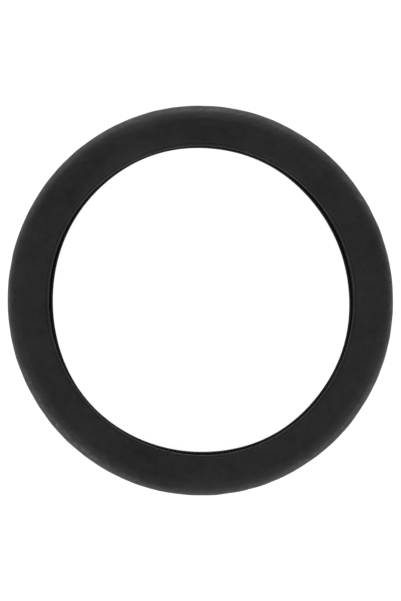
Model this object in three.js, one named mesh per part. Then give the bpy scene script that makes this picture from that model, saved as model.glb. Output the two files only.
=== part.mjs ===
// Steering wheel cover: one moulded ring of matte black silicone rubber.
//
// The ring is a channel that opens towards its own centre. Two nearly flat
// flanks, front and back, are joined by one rounded outer wall. Each flank
// curls over a little at its inner end into a lip with a rounded bead and a
// fine groove beside it. The channel takes the rim of the steering wheel.
//
// Units are millimetres, +Z is up. The ring lies on its back flank: the back
// flank's flat band is in the plane z = 0, the front flank faces +Z, and the
// ring's axis is the Z axis. +Y is the top of the wheel as it is seen from the
// front.

import * as THREE from 'three';

// ---------------------------------------------------------------- dimensions
const OUTER_R = 184.82;       // mean outer radius, at half depth
const DEPTH = 34.0;           // front flank to back flank, outside
const WALL = 2.4;             // wall thickness
const LIP_R = 145.15;         // mean inner radius, at the edge of both lips

const ROUND_U = 15.8;         // outer wall's rounding, measured radially
const ROUND_W = 13.0;         // the same, measured along the axis
const ROUND_POWER = 2.1;      // a little fuller than an ellipse, which is 2
const CURL_U = 151.5;         // radius where a flank starts to curl over
const CURL_R = 28.0;          // outside radius of that curl
const LIP_WALL = 1.4;         // the wall thins to this beside the bead
const BEAD_R = 0.95;          // bead along each lip: its outside and tip
const BEAD_IN = 1.3;          // bead's rounding on the inside, across the lip
const BEAD_LONG = 1.9;        // the same, along the lip
const BEAD_PROUD = 0.1;       // how far the bead stands above the curl
const GROOVE_AT = 1.7;        // fine groove, from the bead's middle
const GROOVE_DEPTH = 0.4;
const GROOVE_WIDTH = 0.44;

const SEGMENTS = 84;          // steps round the ring
const ROUND_STEPS = 6;        // steps in each rounding of the outer wall
const CURL_STEPS = 3;
const BEAD_STEPS = 3;         // steps in each half of the bead

// The soft ring isn't perfectly round. Its outer edge is slightly taller than
// wide, and the two lips wander a little: cosine and sine amplitudes, in mm,
// of one wave round the ring, two waves, and so on.
const OUTER_WAVES = [[0, 0], [-1.05, -0.32]];
const FRONT_LIP_MEAN = 0.10;
const FRONT_LIP_WAVES = [[0.73, 0.11], [-0.98, -0.42], [-0.11, 0.04], [0.08, 0.11], [0.07, 0.04]];
const BACK_LIP_MEAN = 0.07;
const BACK_LIP_WAVES = [[0.32, -0.04], [-1.83, -0.51], [0.20, -0.63], [-0.27, 0.04], [0.18, 0.04],
  [0.06, -0.14], [0.04, 0.0], [-0.10, -0.01], [-0.07, -0.02]];

// The soft front flank sags a little towards the channel beside the lip: how
// far at the lip in mm, where round the ring in degrees, and how narrowly.
const SAGS = [[4.6, 122, 7.0], [1.6, 62, 3.0], [1.3, 270, 4.0]];
const SAG_U = 163.0;          // radius where it starts
const SAG_POWER = 1.4;        // how it grows towards the lip

// ------------------------------------------------------------------- section
// u is the distance from the ring's axis and w the height above its middle
// plane. The section is drawn for the front half and mirrored for the back.
const HALF = DEPTH / 2;
const curlW = HALF - CURL_R;                    // height of the curl's centre
const beadAt = CURL_R + BEAD_PROUD - BEAD_R;    // curl radius of the bead's middle
const beadU = LIP_R + BEAD_R;
const curlEnd = Math.asin((CURL_U - beadU) / beadAt);
const beadW = curlW + beadAt * Math.cos(curlEnd);
const roundU = OUTER_R - ROUND_U;               // where the rounding starts

const onCurl = (radius, angle) => new THREE.Vector2(
  CURL_U - radius * Math.sin(angle), curlW + radius * Math.cos(angle));
const onRound = (across, up, angle) => new THREE.Vector2(
  roundU + across * Math.max(Math.cos(angle), 0) ** (2 / ROUND_POWER),
  HALF - ROUND_W + up * Math.sin(angle) ** (2 / ROUND_POWER));

// A point by its distances from the bead's middle: along the skin towards the
// lip's tip, and across it towards the outside.
const byBead = (along, across) => new THREE.Vector2(
  beadU - along * Math.cos(curlEnd) - across * Math.sin(curlEnd),
  beadW - along * Math.sin(curlEnd) + across * Math.cos(curlEnd));

function frontHalf() {
  // outside: from the middle of the outer wall over the flank to the lip
  const outside = [new THREE.Vector2(OUTER_R, 0)];
  for (let i = 0; i <= ROUND_STEPS; i += 1) {
    outside.push(onRound(ROUND_U, ROUND_W, (Math.PI / 2) * (i / ROUND_STEPS)));
  }

  // the flat flank
  outside.push(new THREE.Vector2(SAG_U, HALF));

  // the curl, with the fine groove pressed into it
  const groove = curlEnd - GROOVE_AT / CURL_R;
  const side = GROOVE_WIDTH / CURL_R;
  for (let i = 0; i <= CURL_STEPS; i += 1) {
    outside.push(onCurl(CURL_R, (groove - side) * i / CURL_STEPS));
  }
  outside.push(onCurl(CURL_R - GROOVE_DEPTH, groove));
  outside.push(onCurl(CURL_R, groove + side));

  // the bead: round on the outside to the tip, then a longer rounding inside
  const foot = Math.asin((CURL_R - beadAt) / BEAD_R);
  for (let i = 0; i <= BEAD_STEPS; i += 1) {
    const a = (Math.PI - foot) + (foot - Math.PI) * i / BEAD_STEPS;
    outside.push(byBead(BEAD_R * Math.cos(a), BEAD_R * Math.sin(a)));
  }
  for (let i = 1; i <= BEAD_STEPS; i += 1) {
    const a = (Math.PI / 2) * i / BEAD_STEPS;
    outside.push(byBead(BEAD_R - BEAD_LONG + BEAD_LONG * Math.cos(a), -BEAD_IN * Math.sin(a)));
  }

  // inside: back over the flank, thickening from the lip, to the outer wall
  const inside = [];
  const innerFrom = curlEnd - (BEAD_LONG - BEAD_R + 1.0) / CURL_R;
  for (let i = 0; i <= CURL_STEPS - 1; i += 1) {
    const angle = innerFrom * (1 - i / (CURL_STEPS - 1));
    const thick = LIP_WALL
      + (WALL - LIP_WALL) * THREE.MathUtils.smoothstep(1 - angle / curlEnd, 0, 1);
    inside.push(onCurl(CURL_R - thick, angle));
  }
  const innerSteps = ROUND_STEPS - 2;
  for (let i = innerSteps; i >= 0; i -= 1) {
    inside.push(onRound(ROUND_U - WALL, ROUND_W - WALL, (Math.PI / 2) * (i / innerSteps)));
  }
  inside.push(new THREE.Vector2(OUTER_R - WALL, 0));
  return { outside, inside };
}

function section() {
  const { outside, inside } = frontHalf();
  const front = [...outside, ...inside];        // outer wall, lip, inner wall
  const back = front.slice(1, -1).reverse().map((p) => new THREE.Vector2(p.x, -p.y));
  // a closed outline: front half from the outer wall, then the back half
  return [...front, ...back, front[0].clone()];
}

// ------------------------------------------------------------- ring, as it lies
function waves(series, angle) {
  let sum = 0;
  series.forEach(([c, s], i) => {
    sum += c * Math.cos((i + 1) * angle) + s * Math.sin((i + 1) * angle);
  });
  return sum;
}

// How far a point of the section moves outwards at an angle round the ring. The
// lips follow their own lines and the outer wall follows the outer edge.
function shift(u, w, angle) {
  const out = THREE.MathUtils.smoothstep(u, LIP_R, OUTER_R);
  const front = THREE.MathUtils.smoothstep(w, -beadW, beadW);
  const lips = front * (FRONT_LIP_MEAN + waves(FRONT_LIP_WAVES, angle))
    + (1 - front) * (BACK_LIP_MEAN + waves(BACK_LIP_WAVES, angle));
  return out * waves(OUTER_WAVES, angle) + (1 - out) * lips;
}

// How far a point of the section sinks at an angle round the ring.
function sink(u, w, angle) {
  if (w <= 0 || u >= SAG_U) return 0;
  let sag = 0;
  SAGS.forEach(([depth, at, tight]) => {
    sag += depth * Math.exp(tight * (Math.cos(angle - THREE.MathUtils.degToRad(at)) - 1));
  });
  return sag * ((SAG_U - u) / (SAG_U - LIP_R)) ** SAG_POWER;
}

const geometry = new THREE.LatheGeometry(section(), SEGMENTS);
geometry.rotateX(Math.PI / 2);                  // the lathe's axis becomes Z
const position = geometry.attributes.position;
for (let i = 0; i < position.count; i += 1) {
  const x = position.getX(i);
  const y = position.getY(i);
  const w = position.getZ(i);
  const u = Math.hypot(x, y);
  const angle = Math.atan2(y, x);
  const down = sink(u, w, angle);
  const r = u + shift(u, w, angle) + 0.097 * down;
  position.setXYZ(i, r * Math.cos(angle), r * Math.sin(angle), w + HALF - down);
}
geometry.computeVertexNormals();

const silicone = new THREE.MeshStandardMaterial({
  color: 0x1f1f1f, roughness: 0.62, metalness: 0.0,
});

const cover = new THREE.Mesh(geometry, silicone);
cover.name = 'cover_ring';

const group = new THREE.Group();
group.name = 'steering_wheel_cover';
group.add(cover);

export default group;
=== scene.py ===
import math

import bpy
import numpy as np
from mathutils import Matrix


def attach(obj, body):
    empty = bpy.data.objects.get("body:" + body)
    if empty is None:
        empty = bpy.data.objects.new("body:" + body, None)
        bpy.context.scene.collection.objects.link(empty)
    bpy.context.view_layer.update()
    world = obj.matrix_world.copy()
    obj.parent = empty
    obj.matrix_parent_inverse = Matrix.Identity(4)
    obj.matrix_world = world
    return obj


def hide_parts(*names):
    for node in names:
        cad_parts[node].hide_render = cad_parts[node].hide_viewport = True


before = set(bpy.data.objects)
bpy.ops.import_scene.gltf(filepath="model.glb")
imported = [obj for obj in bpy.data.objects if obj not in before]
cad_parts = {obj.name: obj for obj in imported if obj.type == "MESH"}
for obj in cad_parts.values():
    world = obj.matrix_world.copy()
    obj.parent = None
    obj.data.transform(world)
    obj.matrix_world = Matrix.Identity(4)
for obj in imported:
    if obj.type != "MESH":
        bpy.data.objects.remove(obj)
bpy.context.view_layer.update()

# ------------------------------------------------------------------ dimensions
# Millimetres, as in the part's source. u is the distance from the ring's axis
# and w the height above its middle plane.
OUTER_R = 184.82
DEPTH = 34.0
WALL = 2.4
LIP_R = 145.15
ROUND_U = 15.8
ROUND_W = 13.0
ROUND_POWER = 2.1
CURL_U = 151.5
CURL_R = 28.0
LIP_WALL = 1.4                  # the wall thins towards the lip
BEAD_R = 0.95                   # on the outside and at the tip
BEAD_IN = 1.3                   # its rounding on the inside: across and along the lip
BEAD_LONG = 1.9
BEAD_PROUD = 0.1                # bead above the curl's outside
GROOVE_AT = 1.7                 # the fine groove, from the bead's middle
GROOVE_DEPTH = 0.4
GROOVE_WIDTH = 0.44

OUTER_WAVES = [(0, 0), (-1.05, -0.32)]
FRONT_LIP_MEAN = 0.1
FRONT_LIP_WAVES = [(0.73, 0.11), (-0.98, -0.42), (-0.11, 0.04), (0.08, 0.11), (0.07, 0.04)]
BACK_LIP_MEAN = 0.07
BACK_LIP_WAVES = [(0.32, -0.04), (-1.83, -0.51), (0.20, -0.63), (-0.27, 0.04), (0.18, 0.04),
                  (0.06, -0.14), (0.04, 0.0), (-0.10, -0.01), (-0.07, -0.02)]

# The soft front flank sags a little towards the channel beside the lip: how
# far at the lip in mm, where round the ring in degrees, and how narrowly.
SAGS = [(4.6, 122, 7.0), (1.6, 62, 3.0), (1.3, 270, 4.0)]
SAG_U = 163.0                   # radius where it starts
SAG_POWER = 1.4

HALF = DEPTH / 2
CURL_W = HALF - CURL_R
BEAD_AT = CURL_R + BEAD_PROUD - BEAD_R
BEAD_U = LIP_R + BEAD_R
CURL_END = math.asin((CURL_U - BEAD_U) / BEAD_AT)
BEAD_W = CURL_W + BEAD_AT * math.cos(CURL_END)
ROUND_AT = OUTER_R - ROUND_U

STEPS = 330                     # round the ring
UNEVEN = 0.15                   # mm, scales the skin's unevenness: 0.07 rms, 0.27 at most


# ---------------------------------------------------------------- section line
def smoothstep(x, lo, hi):
    x = np.clip((x - lo) / (hi - lo), 0, 1)
    return x * x * (3 - 2 * x)


def on_curl(radius, angle):
    return np.stack([CURL_U - radius * np.sin(angle), CURL_W + radius * np.cos(angle)], 1)


def rounding(a, across, up):
    """Points of the outer wall's rounding, from its upright band (0) to the flank."""
    power = 2 / ROUND_POWER
    return np.stack([ROUND_AT + across * np.cos(a) ** power,
                     HALF - ROUND_W + up * np.sin(a) ** power], 1)


def front_half():
    """The front half of the section, from the outer edge over the lip to the inner edge."""
    parts = []
    # outer wall: an upright band, then a rounding a little fuller than an ellipse
    parts.append(np.stack([np.full(3, OUTER_R), np.linspace(0, HALF - ROUND_W, 4)[:-1]], 1))
    parts.append(rounding(np.linspace(0, math.pi / 2, 30), ROUND_U, ROUND_W))
    # flat flank
    parts.append(np.stack([np.linspace(ROUND_AT, CURL_U, 9)[1:], np.full(8, HALF)], 1))
    # the curl's outside, with the fine groove in it
    foot = math.acos((CURL_R - BEAD_AT) / BEAD_R)
    end = CURL_END * CURL_R - BEAD_R * math.sin(foot)
    groove = CURL_END * CURL_R - GROOVE_AT
    s = np.concatenate([np.linspace(0, groove - GROOVE_WIDTH, 12)[1:],
                        groove + GROOVE_WIDTH * np.linspace(-0.8, 1.0, 19),
                        np.linspace(groove + GROOVE_WIDTH, end, 4)[1:-1]])
    dip = GROOVE_DEPTH * np.exp(-((s - groove) / (0.5 * GROOVE_WIDTH)) ** 2)
    parts.append(on_curl(CURL_R - dip, s / CURL_R))
    # the bead round the lip's tip, from the curl to the inside
    normal = math.pi / 2 + CURL_END
    a = np.linspace(normal - foot, normal + 0.5 * math.pi, 12)
    parts.append(np.stack([BEAD_U + BEAD_R * np.cos(a), BEAD_W + BEAD_R * np.sin(a)], 1))
    a = np.linspace(0, 0.5 * math.pi, 10)[1:, None]
    tip = np.array([[-math.sin(normal), math.cos(normal)]])
    inward = np.array([[-math.cos(normal), -math.sin(normal)]])
    parts.append(np.array([[BEAD_U, BEAD_W]]) + (BEAD_R - BEAD_LONG + BEAD_LONG * np.cos(a)) * tip
                 + BEAD_IN * np.sin(a) * inward)
    # inside: the curl, thickening towards the flank, and the outer wall
    a = np.linspace(CURL_END - (BEAD_LONG - BEAD_R + 1.0) / CURL_R, 0, 10)
    thick = LIP_WALL + (WALL - LIP_WALL) * smoothstep(1 - a / CURL_END, 0, 1)
    parts.append(on_curl(CURL_R - thick, a))
    parts.append(np.stack([np.linspace(CURL_U, ROUND_AT, 8)[1:], np.full(7, HALF - WALL)], 1))
    parts.append(rounding(np.linspace(math.pi / 2, 0, 20)[1:], ROUND_U - WALL, ROUND_W - WALL))
    parts.append(np.array([[OUTER_R - WALL, 0.0]]))
    return np.concatenate(parts)


def section():
    front = front_half()
    back = front[1:-1][::-1] * (1, -1)
    return np.concatenate([front, back])


# ------------------------------------------------------------ the ring's shape
def waves(series, t):
    total = np.zeros_like(t)
    for i, (c, s) in enumerate(series):
        total += c * np.cos((i + 1) * t) + s * np.sin((i + 1) * t)
    return total


def sag(t):
    """How far the front lip sags at an angle round the ring."""
    return sum(depth * np.exp(tight * (np.cos(t - math.radians(at)) - 1))
               for depth, at, tight in SAGS)


def unevenness(t, s):
    """The soft skin's faint unevenness, not yet scaled, at an angle t and a distance s along the section."""
    rng = np.random.default_rng(7)
    total = 0.0
    for _ in range(26):
        turns = rng.integers(10, 62)
        along = 2 * math.pi / rng.uniform(24, 90) * rng.choice((-1, 1))
        total = total + np.sin(turns * t + along * s + rng.uniform(0, 2 * math.pi)) / turns ** 0.6
    return total


def ring_points():
    """Every point of the ring in metres, one row for each step round it."""
    line = section()
    t = np.linspace(0, 2 * math.pi, STEPS, endpoint=False)[:, None]
    u, w = line[None, :, 0], line[None, :, 1]
    out = smoothstep(u, LIP_R, OUTER_R)
    front = smoothstep(w, -BEAD_W, BEAD_W)
    lips = (front * (FRONT_LIP_MEAN + waves(FRONT_LIP_WAVES, t))
            + (1 - front) * (BACK_LIP_MEAN + waves(BACK_LIP_WAVES, t)))
    down = np.where(w > 0, np.clip((SAG_U - u) / (SAG_U - LIP_R), 0, None) ** SAG_POWER * sag(t), 0)
    r = u + out * waves(OUTER_WAVES, t) + (1 - out) * lips + 0.097 * down
    z = w + HALF - down
    # the skin's unevenness, on the outside of the front flank and outer wall
    step = np.roll(line, -1, 0) - np.roll(line, 1, 0)
    normal = np.stack([step[:, 1], -step[:, 0]], 1) / np.hypot(*step.T)[:, None]
    along = np.concatenate([[0], np.cumsum(np.hypot(*np.diff(line, axis=0).T))])
    outside = np.arange(len(line)) < np.argmin(front_half()[:, 0])
    fade = np.where(outside, smoothstep(line[:, 1], 0, 6) * smoothstep(line[:, 0], 146.5, 151), 0)
    lift = UNEVEN * unevenness(t, along[None, :]) * fade[None, :]
    r = r + lift * normal[None, :, 0]
    z = z + lift * normal[None, :, 1]
    return np.stack([r * np.cos(t), r * np.sin(t), z], 2) / 1000.0


def make_ring():
    points = ring_points()
    steps, count = points.shape[:2]
    i = np.arange(steps)[:, None]
    j = np.arange(count)[None, :]
    i2, j2 = (i + 1) % steps, (j + 1) % count
    quads = np.stack([i * count + j + 0 * i, i2 * count + j, i2 * count + j2, i * count + j2], 2)
    mesh = bpy.data.meshes.new("cover_ring_moulded")
    mesh.from_pydata(points.reshape(-1, 3).tolist(), [], quads.reshape(-1, 4).tolist())
    mesh.validate()
    mesh.update()
    for p in mesh.polygons:
        p.use_smooth = True
    ring = bpy.data.objects.new("cover_ring_moulded", mesh)
    bpy.context.scene.collection.objects.link(ring)
    return ring


# ------------------------------------------------------------------- materials
def node(tree, kind, **inputs):
    n = tree.nodes.new(kind)
    for name, value in inputs.items():
        n.inputs[name.replace("_", " ")].default_value = value
    return n


def silicone():
    """Matte black silicone: nearly black body colour with faint tonal clouds, a fine grain and a soft gloss."""
    m = bpy.data.materials.new("silicone_matte_black")
    m.use_nodes = True
    tree = m.node_tree
    link = tree.links.new
    shader = tree.nodes["Principled BSDF"]
    shader.inputs["IOR"].default_value = 1.41
    shader.inputs["Specular IOR Level"].default_value = 0.43
    shader.inputs["Metallic"].default_value = 0.0
    where = tree.nodes.new("ShaderNodeTexCoord")

    clouds = node(tree, "ShaderNodeTexNoise", Scale=14.0, Detail=7.0, Roughness=0.74)
    link(where.outputs["Object"], clouds.inputs["Vector"])
    tone = tree.nodes.new("ShaderNodeMapRange")
    tone.inputs["From Min"].default_value = 0.3
    tone.inputs["From Max"].default_value = 0.7
    tone.inputs["To Min"].default_value = 0.0
    tone.inputs["To Max"].default_value = 1.0
    link(clouds.outputs["Fac"], tone.inputs["Value"])
    colour = tree.nodes.new("ShaderNodeMix")
    colour.data_type = "RGBA"
    colour.inputs[6].default_value = (0.0016, 0.0016, 0.0016, 1)
    colour.inputs[7].default_value = (0.0165, 0.0165, 0.0165, 1)
    link(tone.outputs["Result"], colour.inputs["Factor"])
    link(colour.outputs[2], shader.inputs["Base Color"])

    # the matte skin is a little uneven in gloss
    patch = node(tree, "ShaderNodeTexNoise", Scale=150.0, Detail=5.0, Roughness=0.75)
    link(where.outputs["Object"], patch.inputs["Vector"])
    gloss = tree.nodes.new("ShaderNodeMapRange")
    gloss.inputs["From Min"].default_value = 0.3
    gloss.inputs["From Max"].default_value = 0.7
    gloss.inputs["To Min"].default_value = 0.35
    gloss.inputs["To Max"].default_value = 0.65
    link(patch.outputs["Fac"], gloss.inputs["Value"])
    link(gloss.outputs["Result"], shader.inputs["Roughness"])

    # grain from the blasted mould, with softer unevenness under it
    soft = node(tree, "ShaderNodeTexNoise", Scale=45.0, Detail=4.0, Roughness=0.5)
    link(where.outputs["Object"], soft.inputs["Vector"])
    low = tree.nodes.new("ShaderNodeBump")
    low.inputs["Strength"].default_value = 1.0
    low.inputs["Distance"].default_value = 0.0014
    link(soft.outputs["Fac"], low.inputs["Height"])
    grain = node(tree, "ShaderNodeTexNoise", Scale=2200.0, Detail=3.0, Roughness=0.6)
    link(where.outputs["Object"], grain.inputs["Vector"])
    fine = tree.nodes.new("ShaderNodeBump")
    fine.inputs["Strength"].default_value = 0.35
    fine.inputs["Distance"].default_value = 0.00006
    link(grain.outputs["Fac"], fine.inputs["Height"])
    link(low.outputs["Normal"], fine.inputs["Normal"])
    link(fine.outputs["Normal"], shader.inputs["Normal"])
    return m


def floor_material():
    m = bpy.data.materials.new("pale_floor")
    m.use_nodes = True
    shader = m.node_tree.nodes["Principled BSDF"]
    shader.inputs["Base Color"].default_value = (0.45, 0.45, 0.45, 1)
    shader.inputs["Roughness"].default_value = 0.9
    shader.inputs["Specular IOR Level"].default_value = 0.1
    shader.inputs["Emission Color"].default_value = (1, 1, 1, 1)
    shader.inputs["Emission Strength"].default_value = 0.85
    return m


# -------------------------------------------------------------------- camera
# Straight down on the front flank, as the photograph sees it: 1.5 m from the
# ring's middle plane, with 0.956 mm of that plane to a pixel.
PIXEL = 0.9561
DISTANCE = 1500.0
camera_data = bpy.data.cameras.new("camera")
camera = bpy.data.objects.new("camera", camera_data)
bpy.context.scene.collection.objects.link(camera)
camera_data.sensor_fit = "AUTO"
camera_data.sensor_width = 36.0
camera_data.lens = DISTANCE / PIXEL / 601 * 36.0
camera.location = (0.16 * PIXEL / 1000, 0.06 * PIXEL / 1000, (HALF + DISTANCE) / 1000)
camera.rotation_euler = (0, 0, 0)
camera_data.clip_start = 0.01
camera_data.clip_end = 100
bpy.context.scene.camera = camera

# ------------------------------------------------------------------ the object
ring = make_ring()
ring.data.materials.append(silicone())
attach(ring, "root")
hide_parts("cover_ring")

# ----------------------------------------------------------------- the studio
floor_mesh = bpy.data.meshes.new("floor")
SIDES, FLOOR_R = 96, 14.0
floor_mesh.from_pydata(
    [(FLOOR_R * math.cos(2 * math.pi * k / SIDES), FLOOR_R * math.sin(2 * math.pi * k / SIDES), -0.0002)
     for k in range(SIDES)], [], [list(range(SIDES))])
floor = bpy.data.objects.new("floor", floor_mesh)
bpy.context.scene.collection.objects.link(floor)
floor_mesh.materials.append(floor_material())

world = bpy.data.worlds.new("studio")
bpy.context.scene.world = world
world.use_nodes = True
world.node_tree.nodes["Background"].inputs["Color"].default_value = (1, 1, 1, 1)
world.node_tree.nodes["Background"].inputs["Strength"].default_value = 0.3

# Long low strips of light round the ring and three softboxes above it: name,
# azimuth from +X, elevation, distance, width, height, power.
LIGHTS = [
    ("strip_top", 90, 8, 3.5, 2.7, 0.9, 52.0),
    ("strip_top_right", 45, 8, 3.5, 2.7, 0.9, 23.6),
    ("strip_top_left", 135, 8, 3.5, 2.7, 0.9, 27.8),
    ("strip_lower_left", 225, 8, 3.5, 2.7, 0.9, 47.8),
    ("strip_lower", 270, 8, 3.5, 2.7, 0.9, 13.2),
    ("strip_lower_right", 315, 8, 3.5, 2.7, 0.9, 37.2),
    ("softbox_top", 90, 50, 2.4, 1.2, 1.2, 8.6),
    ("softbox_lower_left", 225, 50, 2.4, 1.2, 1.2, 8.4),
    ("softbox_lower_right", 315, 50, 2.4, 1.2, 1.2, 6.6),
]
for name, azimuth, elevation, distance, width, height, power in LIGHTS:
    data = bpy.data.lights.new(name, "AREA")
    data.shape = "ELLIPSE" if width == height else "RECTANGLE"
    data.size = width
    data.size_y = height
    data.energy = power
    lamp = bpy.data.objects.new(name, data)
    a, e = math.radians(azimuth), math.radians(elevation)
    lamp.location = (distance * math.cos(a) * math.cos(e), distance * math.sin(a) * math.cos(e),
                     distance * math.sin(e))
    lamp.rotation_mode = "QUATERNION"
    lamp.rotation_quaternion = lamp.location.to_track_quat("Z", "Y")
    lamp.visible_camera = False
    bpy.context.scene.collection.objects.link(lamp)

view = bpy.context.scene.view_settings
view.view_transform = "Standard"
view.look = "None"
view.exposure = 0.0
view.gamma = 1.0
